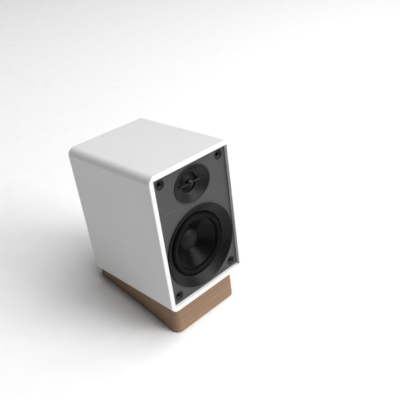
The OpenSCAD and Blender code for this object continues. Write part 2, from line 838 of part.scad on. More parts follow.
// hexagonal spacers from the plate to the boards, each with a screw head on the board's far side
module board_standoffs() color([0.78, 0.62, 0.3]) cabinet_frame() standoff_places() {
    translate([0, pcb_back, 0]) rotate([-90, 0, 0]) cylinder(h = amp_y - pcb_back, r = standoff_r, $fn = 6);
    bar_y(0, 0, board_hole_r, pcb_y, pcb_back);
    bar_y(0, 0, screw_head_r, pcb_y - board_head_h, pcb_y);
}

// finned block on the amplifier board
module heat_sink() color([0.6, 0.62, 0.64]) cabinet_frame() {
    block(0, amp_pcb_z, sink_w, sink_h, pcb_y - sink_base, pcb_y);
    for (i = [0:fins - 1]) translate([-sink_w / 2 + i * (sink_w - fin_t) / (fins - 1), 0, 0])
        block(fin_t / 2, amp_pcb_z, fin_t, sink_h, pcb_y - sink_depth, pcb_y - sink_base + eps);
}

// core with a winding through it
module transformer() color([0.35, 0.3, 0.2]) cabinet_frame() {
    block(transformer_x, power_pcb_z, core_w, core_h, pcb_y - core_feet - core_t, pcb_y - core_feet);
    block(transformer_x, power_pcb_z, winding_w, winding_h, pcb_y - winding_t, pcb_y);
}

module capacitors() color([0.12, 0.14, 0.3]) cabinet_frame() for (x = capacitor_x)
    bar_y(x, power_pcb_z, capacitor_r, pcb_y - capacitor_len, pcb_y);

module volume_pot() color([0.55, 0.55, 0.57]) cabinet_frame() difference() {
    union() {
        block(knob_x, row1_z, pot_w, pot_w, amp_y - pot_depth, amp_y);
        bar_y(knob_x, row1_z, bushing_r, amp_y - eps, bushing_end);
    }
    bar_y(knob_x, row1_z, shaft_r + slip, amp_y - pot_depth + pot_floor, bushing_end + eps);
}

module pot_nut() color([0.7, 0.7, 0.72]) cabinet_frame() difference() {
    translate([knob_x, amp_face, row1_z]) rotate([-90, 0, 0]) cylinder(h = nut_h, r = nut_r, $fn = 6);
    bar_y(knob_x, row1_z, bushing_r, amp_face - eps, amp_face + nut_h + eps);
}

module volume_shaft() color([0.7, 0.7, 0.72]) cabinet_frame()
    bar_y(knob_x, row1_z, shaft_r, amp_y - pot_depth + pot_floor + gap, knob_end - knob_top);

// round knob with a ribbed side, a raised pointer and a hollow that clears the nut
module volume_knob() color([0.15, 0.15, 0.15]) cabinet_frame() translate([knob_x, 0, row1_z])
    difference() {
        union() {
            bar_y(0, 0, knob_r - rib_h, knob_y, knob_end);
            for (i = [0:knob_ribs - 1]) rotate([0, i * 360 / knob_ribs, 0])
                block(knob_r - rib_h, 0, 2 * rib_h, rib_w, knob_y, knob_end - rib_w);
            block(0, knob_r / 2, pointer_w, knob_r - 3 * pointer_w, knob_end - eps, knob_end + pointer_h);
        }
        bar_y(0, 0, knob_hollow_r, knob_y - eps, bushing_end + 1);
        bar_y(0, 0, shaft_r, knob_y, knob_end - knob_top);
    }

// push button: cap, retaining collar and a stem that reaches the switch
module source_button() color([0.2, 0.2, 0.2]) cabinet_frame() {
    bar_y(button_x, row1_z, button_r, collar_y, amp_face + button_rise);
    bar_y(button_x, row1_z, collar_r, collar_y, collar_y + collar_t);
    bar_y(button_x, row1_z, stem_r, pcb_back + switch_h + button_travel + gap, collar_y + eps);
}

module button_switch() color([0.3, 0.3, 0.32]) cabinet_frame()
    block(button_x, row1_z, switch_w, switch_w, pcb_back, pcb_back + switch_h);

// frame with a clear pocket for the rocker and two holes for its pins
module rocker_housing() color([0.12, 0.12, 0.12]) cabinet_frame() difference() {
    union() {
        block(rocker_x, row3_z, rocker_w, rocker_h, rocker_back, amp_face);
        block(rocker_x, row3_z, rocker_w + 2 * rocker_bezel, rocker_h + 2 * rocker_bezel,
            amp_face, amp_face + bezel_t);
    }
    block(rocker_x, row3_z, rocker_in_w, rocker_in_h, rocker_back + rocker_floor, amp_face + bezel_t + eps);
    rocker_pivot(rocker_pin_r + slip, rocker_w + 2);
}

module rocker_pivot(r, length) translate([rocker_x - length / 2, rocker_y, row3_z])
    rotate([0, 90, 0]) cylinder(h = length, r = r);

// paddle with two sloping faces, held by a pin at each side, resting with its lower end pressed in
module power_rocker() color([0.06, 0.06, 0.06]) cabinet_frame() {
    translate([rocker_x - rocker_in_w / 2 + gap, rocker_y, row3_z]) rotate([-rocker_tilt, 0, 0])
        rotate([90, 0, 90]) linear_extrude(rocker_in_w - 2 * gap) polygon(rocker_side);
    rocker_pivot(rocker_pin_r, rocker_w - gap);
}

// figure-eight inlet: flanged body, twin-lobed pocket and two pins
module mains_inlet() color([0.07, 0.07, 0.07]) cabinet_frame() {
    difference() {
        union() {
            block(inlet_x, row3_z, inlet_w, inlet_h, inlet_back, amp_face);
            panel(amp_face, amp_face + bezel_t)
                translate([inlet_x, row3_z])
                    round_rect(inlet_w + 2 * inlet_bezel, inlet_h + 2 * inlet_bezel, inlet_bezel);
        }
        panel(inlet_floor, amp_face + bezel_t + eps) translate([inlet_x, row3_z]) {
            for (i = [-1, 1]) translate([i * inlet_pin_x, 0]) circle(inlet_lobe_r);
            square([2 * inlet_pin_x, 2 * inlet_lobe_r], center = true);
        }
    }
    for (i = [-1, 1])
        bar_y(inlet_x + i * inlet_pin_x, row3_z, inlet_pin_r, inlet_floor - eps, amp_face - 1);
}

// phono sockets: a block on the board, a neck through the plate and a metal barrel in front of it
module rca_jacks() color([0.75, 0.75, 0.77]) cabinet_frame() for (x = rca_x)
    translate([x, 0, row1_z]) {
        block(0, 0, rca_block_w, rca_block_h, pcb_back, amp_y);
        turned(0, 0) {
            span([0, amp_y - eps], [rca_neck_r, rca_root + eps]);
            span([rca_in_r, rca_root], [rca_r, rca_root + rca_len]);
            span([rca_pin_r, rca_root], [rca_pin_r + rca_pin_t, rca_pin_end]);
        }
    }

module aux_jack() color([0.1, 0.1, 0.1]) cabinet_frame() difference() {
    union() {
        block(aux_x, row1_z, aux_block_w, aux_block_h, pcb_back, amp_y);
        bar_y(aux_x, row1_z, aux_nose_r, amp_y - eps, aux_nose_end);
    }
    bar_y(aux_x, row1_z, aux_bore_r, aux_bore_y - eps, aux_nose_end + eps);
    bar_y(aux_x, row1_z, aux_chamber_r, pcb_back + 3, aux_bore_y);
}

// one insulator behind both posts: two discs on the plate with sleeves through it
module post_insulators() color([0.08, 0.08, 0.08]) cabinet_frame() for (x = post_x)
    turned(x, row2_z) {
        span([post_r, amp_y - post_disc_t], [post_sleeve_r, amp_face]);
        span([post_r, amp_face], [post_disc_r, amp_face + post_disc_t]);
        span([post_r, amp_y - post_disc_t], [post_disc_r, amp_y]);
    }

// brass studs with a socket for a banana plug in the end
module post_stems() color([0.8, 0.65, 0.3]) cabinet_frame() for (x = post_x)
    difference() {
        bar_y(x, row2_z, post_r, pcb_back, post_end);
        bar_y(x, row2_z, banana_r, post_end - banana_len, post_end + eps);
    }

// fluted cap that turns on its stud
module post_cap(x) difference() {
    bar_y(x, row2_z, cap_out_r, post_cap_y, post_end);
    bar_y(x, row2_z, post_r + slip, post_cap_y - eps, post_end + eps);
    translate([x, 0, row2_z]) for (i = [0:flutes - 1]) rotate([0, i * 360 / flutes, 0])
        bar_y(cap_out_r + flute_r / 2, 0, flute_r, post_cap_y + 1.5, post_end + eps);
}

module post_cap_red() color([0.7, 0.05, 0.05]) cabinet_frame() post_cap(post_x[0]);

module post_cap_black() color([0.05, 0.05, 0.05]) cabinet_frame() post_cap(post_x[1]);

// ---------- stand ----------

// outline of the stand seen along the cabinet's upright direction, pulled in by inset
module stand_outline(inset) translate([0, (wedge_front + wedge_back) / 2])
    round_rect(wedge_w - 2 * inset, wedge_back - wedge_front - 2 * inset, wedge_r - inset);

module stand_wedge() color([0.66, 0.54, 0.43]) difference() {
    cabinet_frame() difference() {
        translate([0, 0, base_z - wedge_h]) linear_extrude(wedge_h - pad_t) stand_outline(0);
        for (y = bolt_y) translate([0, y, base_z - pad_t - bolt_grip]) {
            cylinder(h = bolt_grip + eps, r = bolt_r + fit);
            mirror([0, 0, 1]) cylinder(h = wedge_h, r = access_r);
        }
    }
    translate([-cab_w, -cab_d, -cab_h + foot_h]) cube([2 * cab_w, 3 * cab_d, cab_h]);
    foot_places() cylinder(h = foot_sink, r = foot_r);
}

module stand_pad() color([0.08, 0.08, 0.08]) cabinet_frame() difference() {
    translate([0, 0, base_z - pad_t]) linear_extrude(pad_t)
        intersection() {
            stand_outline(pad_inset);
            translate([-cab_w, pad_inset]) square([2 * cab_w, cab_d - 2 * pad_inset]);
        }
    for (y = bolt_y) translate([0, y, base_z - pad_t - eps]) cylinder(h = pad_t + 2 * eps, r = bolt_r + fit);
}

module foot_places() for (x = [-1, 1], y = foot_y) translate([x * foot_x, y, foot_h]) children();

module stand_feet() color([0.07, 0.07, 0.07]) foot_places()
    translate([0, 0, -foot_h]) cylinder(h = foot_h + foot_sink, r = foot_r);

// socket-head bolts that hold the wedge to the inserts in the cabinet's floor
module stand_bolts() color([0.2, 0.2, 0.21]) cabinet_frame() for (y = bolt_y)
    translate([0, y, base_z - pad_t - bolt_grip]) {
        cylinder(h = bolt_grip + pad_t + insert_len - 1, r = bolt_r);
        mirror([0, 0, 1]) difference() {
            cylinder(h = bolt_head_h, r = bolt_head_r);
            translate([0, 0, hex_floor]) cylinder(h = bolt_head_h, r = hex_r, $fn = 6);
        }
    }

// ---------- nodes ----------

cabinet_shell();
front_baffle();
rear_board();
rear_screws();
wadding();
base_inserts();
woofer_trim_ring();
woofer_gasket();
woofer_basket();
woofer_surround();
woofer_cone();
woofer_dust_cap();
woofer_former();
woofer_voice_coil();
woofer_spider();
woofer_top_plate();
woofer_magnet();
woofer_pole_piece();
woofer_terminals();
tweeter_waveguide();
phase_plug();
tweeter_dome();
tweeter_suspension();
tweeter_voice_coil();
tweeter_top_plate();
tweeter_magnet();
tweeter_pole_piece();
tweeter_rear_cup();
driver_screws();
driver_leads();
grille_sockets();
indicator_lights();
indicator_board();
port_tube();
amp_plate();
amp_board();
power_board();
board_standoffs();
heat_sink();
transformer();
capacitors();
volume_pot();
pot_nut();
volume_shaft();
volume_knob();
source_button();
button_switch();
power_rocker();
rocker_housing();
mains_inlet();
rca_jacks();
aux_jack();
post_insulators();
post_stems();
post_cap_red();
post_cap_black();
stand_wedge();
stand_pad();
stand_feet();
stand_bolts();
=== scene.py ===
"""Looks of the powered bookshelf loudspeaker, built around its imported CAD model."""

import json
import math

import bpy
import numpy as np
from mathutils import Matrix, Vector

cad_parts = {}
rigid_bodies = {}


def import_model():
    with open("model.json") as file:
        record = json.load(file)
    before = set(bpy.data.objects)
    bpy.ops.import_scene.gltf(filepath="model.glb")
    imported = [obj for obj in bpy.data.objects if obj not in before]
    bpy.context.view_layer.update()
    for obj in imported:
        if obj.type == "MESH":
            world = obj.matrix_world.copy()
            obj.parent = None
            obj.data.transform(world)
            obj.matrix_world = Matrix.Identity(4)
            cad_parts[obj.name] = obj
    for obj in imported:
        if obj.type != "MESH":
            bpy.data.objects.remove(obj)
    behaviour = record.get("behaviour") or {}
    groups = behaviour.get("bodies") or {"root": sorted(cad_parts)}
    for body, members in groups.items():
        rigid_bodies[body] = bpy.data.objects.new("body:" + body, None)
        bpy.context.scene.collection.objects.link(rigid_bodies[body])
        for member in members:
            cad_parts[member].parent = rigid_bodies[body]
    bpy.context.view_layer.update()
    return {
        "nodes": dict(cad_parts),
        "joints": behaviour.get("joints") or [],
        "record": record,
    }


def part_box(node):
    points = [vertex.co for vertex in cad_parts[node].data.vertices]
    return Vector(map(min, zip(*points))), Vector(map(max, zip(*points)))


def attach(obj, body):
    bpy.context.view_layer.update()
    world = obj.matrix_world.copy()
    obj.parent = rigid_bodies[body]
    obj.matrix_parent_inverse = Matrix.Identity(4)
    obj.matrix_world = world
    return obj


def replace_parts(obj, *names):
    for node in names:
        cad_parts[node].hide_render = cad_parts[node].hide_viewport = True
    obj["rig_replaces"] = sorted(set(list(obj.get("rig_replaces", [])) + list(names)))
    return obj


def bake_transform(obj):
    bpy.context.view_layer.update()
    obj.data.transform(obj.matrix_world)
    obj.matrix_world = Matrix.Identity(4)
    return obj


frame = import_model()
MM = 0.001

# ---------- the cabinet's own frame: X right, Y from the front rim to the back, Z up, in mm ----------

AXIS_OF = {joint["name"]: Vector(joint["axis"]) for joint in frame["joints"]}
RIGHT = Vector((1, 0, 0))
BACK = -AXIS_OF["woofer_travel"].normalized()
UP = RIGHT.cross(BACK)
TURN = Matrix((RIGHT, BACK, UP)).transposed()


def lowest_and_highest(points):
    """The corners of the box around some points."""
    points = np.array(points)
    return Vector(points.min(0)), Vector(points.max(0))


def cabinet_origin():
    """The middle of the front rim, in the row frame."""
    turned = [TURN.transposed() @ v.co for v in frame["nodes"]["cabinet_shell"].data.vertices]
    low, high = lowest_and_highest(turned)
    return TURN @ Vector(((low.x + high.x) / 2, low.y, (low.z + high.z) / 2))


CABINET = Matrix.Translation(cabinet_origin()) @ TURN.to_4x4() @ Matrix.Scale(MM, 4)
TO_CABINET = CABINET.inverted()
UPRIGHT = Matrix.Scale(MM, 4)


class Extent:
    """A CAD node's extent in the cabinet's frame, in mm."""

    def __init__(self, node, part=lambda point: True):
        points = [TO_CABINET @ v.co for v in frame["nodes"][node].data.vertices]
        low, high = lowest_and_highest([p for p in points if part(p)])
        self.x0, self.y0, self.z0 = low
        self.x1, self.y1, self.z1 = high
        self.x, self.y, self.z = (low + high) / 2
        self.r = (self.x1 - self.x0) / 2
        self.hole = min(math.hypot(p.x - self.x, p.z - self.z) for p in points)


# ---------- mesh building ----------

# points around a turned piece, by its size
LARGE, MEDIUM, SMALL, TINY = 192, 144, 96, 64
# mm between two surfaces that would otherwise fall on each other
HAIR = 0.02


def put(name, verts, faces, material, body="cabinet", instead_of=(), slot=None, sharp=32, place=CABINET):
    """Makes a piece from points in mm, smooth except where its faces meet at more than sharp degrees."""
    mesh = bpy.data.meshes.new(name)
    mesh.from_pydata([place @ Vector(v) for v in verts], [], faces)
    mesh.validate()
    mesh.shade_smooth()
    mesh.set_sharp_from_angle(angle=math.radians(sharp))
    piece = bpy.data.objects.new(name, mesh)
    bpy.context.scene.collection.objects.link(piece)
    mesh.materials.append(material)
    weigh_normals(piece)
    if instead_of:
        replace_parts(piece, *instead_of)
    if body:
        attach(piece, body)
    return piece


def weigh_normals(piece):
    """Keeps large flat faces flat in shading next to their small rounded edges."""
    weighted = piece.modifiers.new("weighted normals", "WEIGHTED_NORMAL")
    weighted.keep_sharp = True
    weighted.weight = 90


def skin(rings, closed=False):
    """Faces between rings with the same number of points. Closed also joins the last to the first."""
    n = len(rings[0])
    faces = []
    for k in range(len(rings) if closed else len(rings) - 1):
        a, b = k * n, (k + 1) % len(rings) * n
        for i in range(n):
            j = (i + 1) % n
            faces.append((a + i, a + j, b + j, b + i))
    return faces


def rounded(corners, closed=True):
    """A 2D outline with its corners rounded. Each corner is (u, v) or (u, v, radius)."""
    steps = 5
    points = []
    n = len(corners)
    for i, corner in enumerate(corners):
        here = Vector(corner[:2])
        radius = corner[2] if len(corner) > 2 else 0
        if radius == 0 or (not closed and i in (0, n - 1)):
            points.append(tuple(here))
            continue
        before = Vector(corners[i - 1][:2]) - here
        after = Vector(corners[(i + 1) % n][:2]) - here
        half = before.angle(after) / 2
        reach = min(radius / math.tan(half), 0.49 * before.length, 0.49 * after.length)
        radius = reach * math.tan(half)
        centre = here + (before.normalized() + after.normalized()).normalized() * radius / math.sin(half)
        start = here + before.normalized() * reach - centre
        sweep = start.angle_signed(here + after.normalized() * reach - centre)
        for k in range(steps + 1):
            turn = -sweep * k / steps
            points.append((
                centre.x + start.x * math.cos(turn) - start.y * math.sin(turn),
                centre.y + start.x * math.sin(turn) + start.y * math.cos(turn),
            ))
    return points


def revolve(profile, x=0, z=0, steps=MEDIUM, closed=True, radius_at=None):
    """Points and faces of a profile of (radius, depth) turned about a front-to-back axis.
    radius_at(radius, depth, turn) can change the radius around the turn, as for ribs."""
    verts, rows = [], []
    for r, y in profile:
        if r < 1e-6:
            rows.append([len(verts)] * steps)
            verts.append((x, y, z))
            continue
        rows.append(list(range(len(verts), len(verts) + steps)))
        for i in range(steps):
            turn = 2 * math.pi * i / steps
            reach = radius_at(r, y, turn) if radius_at else r
            verts.append((x + reach * math.cos(turn), y, z + reach * math.sin(turn)))
    faces = []
    for k in range(len(rows) if closed else len(rows) - 1):
        a, b = rows[k], rows[(k + 1) % len(rows)]
        for i in range(steps):
            j = (i + 1) % steps
            corners = list(dict.fromkeys((a[i], b[i], b[j], a[j])))
            if len(corners) > 2:
                faces.append(corners)
    return verts, faces


def joined(*parts):
    """Several (points, faces) as one."""
    verts, faces = [], []
    for part_verts, part_faces in parts:
        first = len(verts)
        verts.extend(part_verts)
        faces.extend([tuple(first + i for i in face) for face in part_faces])
    return verts, faces


def repeated(shape, places):
    """A shape made around (0, 0), repeated at each (x, z)."""
    verts, faces = shape
    return joined(*[([(u + x, v, w + z) for u, v, w in verts], faces) for x, z in places])


def thickened(line, thickness):
    """A closed outline from an open line and the same line moved back by thickness along its normals."""
    moved = []
    for i, (u, v) in enumerate(line):
        ahead = Vector(line[min(i + 1, len(line) - 1)]) - Vector(line[max(i - 1, 0)])
        ahead.normalize()
        moved.append((u + ahead.y * thickness, v - ahead.x * thickness))
    return line + moved[::-1]


def dome_line(r, y0, y1, share=1.0):
    """Points from the top of a dome at the depth y0 out to a share of its radius r at the depth y1."""
    steps = 18
    height = y1 - y0
    ball = (r ** 2 + height ** 2) / (2 * height)
    radii = [r * share * k / steps for k in range(steps + 1)]
    return [(radius, y0 + ball - math.sqrt(ball ** 2 - radius ** 2)) for radius in radii]


def round_rect(half_w, half_h, r, steps=10):
    """Outline of a rectangle with round corners, with the same number of points for any size."""
    points = []
    for quarter, (i, j) in enumerate(((1, 1), (-1, 1), (-1, -1), (1, -1))):
        for k in range(steps + 1):
            turn = math.radians(90 * (quarter + k / steps))
            points.append((
                i * (half_w - r) + r * math.cos(turn),
                j * (half_h - r) + r * math.sin(turn),
            ))
    return points


def ellipse(a, b):
    """Outline of an ellipse."""
    turns = [2 * math.pi * i / MEDIUM for i in range(MEDIUM)]
    return [(a * math.cos(turn), b * math.sin(turn)) for turn in turns]


def plate(outline, y0, y1, edge):
    """Points and faces of a flat plate between two depths, with softly rounded edges."""
    area = sum(a[0] * b[1] - b[0] * a[1] for a, b in zip(outline, outline[1:] + outline[:1]))
    if area < 0:
        outline = outline[::-1]
    curve = bpy.data.curves.new("plate", "CURVE")
    curve.dimensions = "2D"
    curve.fill_mode = "BOTH"
    curve.extrude = (y1 - y0) / 2 - edge
    curve.bevel_depth = edge
    curve.bevel_resolution = 3
    curve.offset = -edge
    spline = curve.splines.new("POLY")
    spline.points.add(len(outline) - 1)
    for point, (u, v) in zip(spline.points, outline):
        point.co = (u, v, 0, 1)
    spline.use_cyclic_u = True
    holder = bpy.data.objects.new("plate", curve)
    mesh = bpy.data.meshes.new_from_object(holder)
    middle = (y0 + y1) / 2
    verts = [(v.co.x, middle - v.co.z, v.co.y) for v in mesh.vertices]
    faces = [tuple(face.vertices) for face in mesh.polygons]
    bpy.data.objects.remove(holder)
    bpy.data.meshes.remove(mesh)
    bpy.data.curves.remove(curve)
    return verts, faces


def at(x, z, outline):
    """An outline moved to (x, z)."""
    return [(x + u, z + v) for u, v in outline]


# ---------- material building ----------

class Recipe:
    """A material's node tree, with short calls to add and join nodes."""

    def __init__(self, name, **sockets):
        self.material = bpy.data.materials.new(name)
        self.material.use_nodes = True
        self.tree = self.material.node_tree
        self.shader = self.tree.nodes["Principled BSDF"]
        for socket, value in sockets.items():
            self.shader.inputs[socket.replace("_", " ")].default_value = value
        self.place = self.add("TexCoord").outputs["Object"]

    def add(self, kind, settings=None, **inputs):
        """Adds a node. A value that is a socket is joined, and any other is set."""
        made = self.tree.nodes.new("ShaderNode" + kind)
        for key, value in (settings or {}).items():
            setattr(made, key, value)
        for key, value in inputs.items():
            self.give(made.inputs[key.replace("_", " ")], value)
        return made

    def give(self, socket, value):
        if isinstance(value, bpy.types.NodeSocket):
            self.tree.links.new(value, socket)
        else:
            socket.default_value = value

    def in_cabinet(self):
        """Texture places in the cabinet's frame, in metres."""
        turned = self.add("Mapping", {"vector_type": "TEXTURE"}, Vector=self.place)
        turned.inputs["Location"].default_value = CABINET.translation
        turned.inputs["Rotation"].default_value = TURN.to_euler()
        return turned.outputs["Vector"]

    def moved(self, place, scale=(1, 1, 1), by=(0, 0, 0)):
        return self.add("Mapping", None, Vector=place, Scale=scale, Location=by).outputs["Vector"]

    def noise(self, scale, detail=3.0, place=None, distortion=0.0, roughness=0.5):
        made = self.add("TexNoise", None, Vector=place or self.place, Scale=scale, Detail=detail,
                        Distortion=distortion, Roughness=roughness)
        return made.outputs["Fac"]

    def spread(self, value, low, high, start=0.3, end=0.7):
        """Maps a value between start and end to the range from low to high."""
        made = self.add("MapRange", None, Value=value)
        for socket, number in zip(("From Min", "From Max", "To Min", "To Max"), (start, end, low, high)):
            made.inputs[socket].default_value = number
        return made.outputs["Result"]

    def maths(self, operation, a, b=0.0):
        made = self.add("Math", {"operation": operation})
        self.give(made.inputs[0], a)
        self.give(made.inputs[1], b)
        return made.outputs["Value"]

    def mixed(self, share, a, b):
        """Colour a where share is 0 and colour b where it is 1."""
        made = self.add("Mix", {"data_type": "RGBA"}, Factor=share)
        self.give(made.inputs[6], (*a, 1) if isinstance(a, tuple) and len(a) == 3 else a)
        self.give(made.inputs[7], (*b, 1) if isinstance(b, tuple) and len(b) == 3 else b)
        return made.outputs[2]

    def colour(self, value):
        self.give(self.shader.inputs["Base Color"], value)

    def roughness(self, value):
        self.give(self.shader.inputs["Roughness"], value)

    def bump(self, *layers):
        """Layers of (height, depth in mm), each on the one before."""
        normal = None
        for height, depth in layers:
            bumped = self.add("Bump", None, Height=height, Distance=depth * MM)
            bumped.inputs["Strength"].default_value = 1.0
            if normal:
                self.tree.links.new(normal, bumped.inputs["Normal"])
            normal = bumped.outputs["Normal"]
        self.tree.links.new(normal, self.shader.inputs["Normal"])


def shade(colour, by):
    """A colour made lighter or darker."""
    return tuple(min(1.0, c * by) for c in colour)


def finish_of(name, colour, rough, vary=0.12, grain=(3000, 0.004), waves=None, **sockets):
    """A plain finish: slow changes of colour and gloss, and a fine grain of (scale, depth in mm)."""
    recipe = Recipe(name, **sockets)
    patches = recipe.noise(35, 4)
    fine = recipe.noise(grain[0], 2)
    mixed = recipe.maths("ADD", patches, recipe.maths("MULTIPLY", fine, 0.4))
    blotch = recipe.spread(mixed, 0, 1, 0.5, 0.9)
    recipe.colour(recipe.mixed(blotch, shade(colour, 1 - vary), shade(colour, 1 + vary)))
    recipe.roughness(recipe.spread(patches, rough * 0.9, min(1.0, rough * 1.12)))
    layers = [(fine, grain[1])]
    if waves:
        layers.append((recipe.noise(waves[0], 2), waves[1]))
    recipe.bump(*layers)
    return recipe.material


def lacquer():
    """Satin white lacquer: almost even, with the faint ripple of a sprayed coat and specks of dust."""
    recipe = Recipe("lacquer", Specular_IOR_Level=0.4, Coat_Weight=0.25, Coat_Roughness=0.28)
    patches = recipe.noise(14, 3)
    recipe.colour(recipe.mixed(recipe.spread(patches, 0, 1), (0.775, 0.775, 0.77), (0.8, 0.8, 0.797)))
    recipe.roughness(recipe.spread(recipe.noise(60, 4), 0.4, 0.5))
    recipe.bump((recipe.noise(420, 2), 0.004), (recipe.noise(2600, 2), 0.0006))
    return recipe.material


def charcoal_paint():
    """Matt charcoal paint with a fine grit, slightly polished in patches."""
    recipe = Recipe("charcoal_paint", Specular_IOR_Level=0.35)
    grit = recipe.noise(2600, 3)
    patches = recipe.noise(22, 4)
    speck = recipe.spread(grit, 0, 1, 0.35, 0.65)
    tone = recipe.mixed(speck, (0.052, 0.052, 0.053), (0.066, 0.066, 0.067))
    recipe.colour(recipe.mixed(recipe.spread(patches, 0, 0.35), tone, (0.07, 0.07, 0.071)))
    recipe.roughness(recipe.spread(patches, 0.56, 0.68))
    recipe.bump((grit, 0.012))
    return recipe.material


def waves_of(pitch):
    """The scale of a wave texture that repeats every pitch mm."""
    return 2 / (pitch * MM * math.tau)


def woven(name, colour, pitch, rough, depth, sheen=0.0):
    """Fine plain weave, its threads running along the cabinet's X and Z."""
    recipe = Recipe(name, Sheen_Weight=sheen, Specular_IOR_Level=0.3)
    place = recipe.in_cabinet()
    across = recipe.add("TexWave", {"bands_direction": "X"}, Vector=place, Scale=waves_of(pitch))
    upward = recipe.add("TexWave", {"bands_direction": "Z"}, Vector=place, Scale=waves_of(pitch))
    threads = recipe.maths("MULTIPLY", across.outputs["Fac"], upward.outputs["Fac"])
    uneven = recipe.noise(120, 3)
    tone = recipe.mixed(threads, shade(colour, 0.6), shade(colour, 1.25))
    recipe.colour(recipe.mixed(recipe.spread(uneven, 0, 0.3), tone, shade(colour, 0.8)))
    recipe.roughness(recipe.spread(uneven, rough * 0.92, rough * 1.08))
    recipe.bump((threads, depth))
    return recipe.material


def wound(name, colour, pitch, **sockets):
    """Turns of fine wire, one after another from front to back."""
    recipe = Recipe(name, **sockets)
    place = recipe.in_cabinet()
    turns = recipe.add("TexWave", {"bands_direction": "Y"}, Vector=place, Scale=waves_of(pitch))
    recipe.colour(recipe.mixed(turns.outputs["Fac"], shade(colour, 0.35), shade(colour, 1.15)))
    recipe.roughness(recipe.spread(recipe.noise(300), 0.22, 0.38))
    recipe.bump((turns.outputs["Fac"], pitch / 3))
    return recipe.material


def brushed(name, colour, rough, stretch, depth=0.003, **sockets):
    """Metal with fine lines along one direction of the cabinet."""
    recipe = Recipe(name, Metallic=1.0, **sockets)
    lines = recipe.noise(260, 4, place=recipe.moved(recipe.in_cabinet(), scale=stretch))
    patches = recipe.noise(45, 4)
    recipe.colour(recipe.mixed(recipe.spread(patches, 0, 1), shade(colour, 0.85), shade(colour, 1.1)))
    recipe.roughness(recipe.maths("MULTIPLY", recipe.spread(lines, 0.8, 1.25), rough))
    recipe.bump((lines, depth))
    return recipe.material


def circuit_board(name, mask, track):
    """Solder mask over a pattern of tracks, with bright pads."""
    recipe = Recipe(name, Specular_IOR_Level=0.5)
    place = recipe.in_cabinet()
    cells = recipe.add("TexVoronoi", {"distance": "CHEBYCHEV"}, Vector=place, Scale=190)
    tracks = recipe.spread(cells.outputs["Distance"], 0, 1, 0.36, 0.4)
    pads = recipe.spread(cells.outputs["Distance"], 1, 0, 0.1, 0.13)
    tone = recipe.mixed(tracks, mask, track)
    recipe.colour(recipe.mixed(pads, tone, (0.62, 0.6, 0.55)))
    recipe.roughness(recipe.spread(recipe.noise(200), 0.28, 0.4))
    recipe.bump((tracks, 0.02), (pads, 0.04))
    return recipe.material


def fibre(name, colour):
    """Loose polyester wadding: tangled strands and soft hollows, with painted shade darkening the colour in
    the hollows.
    """
    recipe = Recipe(name, Sheen_Weight=0.5)
    hollows_and_painted_shade = recipe.noise(90, 5, distortion=1.5)
    strands = recipe.noise(1400, 4, distortion=3.0)
    # painted shade: the colour falls to 0.7 where the bump is low, in the hollows
    recipe.colour(recipe.mixed(recipe.spread(hollows_and_painted_shade, 0, 1), shade(colour, 0.7), colour))
    recipe.roughness(recipe.spread(strands, 0.85, 0.98))
    recipe.bump((hollows_and_painted_shade, 1.5), (strands, 0.15))
    return recipe.material


def oak():
    """Oiled veneer. The UV map runs along the grain in U and across it in V, in metres."""
    recipe = Recipe("oiled_oak", Specular_IOR_Level=0.32)
    uv = recipe.add("UVMap").outputs["UV"]
    wander = recipe.noise(5, 2, place=recipe.moved(uv, scale=(1, 2.5, 1)))
    bent = recipe.add("VectorMath", {"operation": "MULTIPLY_ADD"})
    recipe.give(bent.inputs[0], recipe.add("CombineXYZ", None, Y=wander).outputs["Vector"])
    bent.inputs[1].default_value = (0, 0.02, 0)
    recipe.give(bent.inputs[2], uv)
    along = bent.outputs["Vector"]
    bands = recipe.noise(1, 4, place=recipe.moved(along, scale=(3, 120, 1)), roughness=0.6)
    streaks = recipe.noise(1, 5, place=recipe.moved(along, scale=(14, 900, 1)), roughness=0.65)
    pores = recipe.noise(1, 2, place=recipe.moved(along, scale=(150, 3200, 1), by=(3, 1, 0)))
    blush = recipe.noise(11, 3, place=uv)
    tone = recipe.mixed(recipe.spread(bands, 0, 1, 0.32, 0.7), (0.25, 0.148, 0.086), (0.365, 0.238, 0.15))
    tone = recipe.mixed(recipe.spread(streaks, 0, 0.55, 0.42, 0.72), tone, (0.18, 0.1, 0.057))
    tone = recipe.mixed(recipe.spread(blush, 0, 0.3), tone, (0.32, 0.19, 0.115))
    pits = recipe.spread(pores, 1, 0, 0.3, 0.36)
    recipe.colour(recipe.mixed(recipe.maths("MULTIPLY", pits, 0.7), tone, (0.12, 0.065, 0.035)))
    recipe.roughness(recipe.spread(streaks, 0.46, 0.6))
    recipe.bump((streaks, 0.02), (recipe.maths("SUBTRACT", 1.0, pits), 0.03))
    return recipe.material


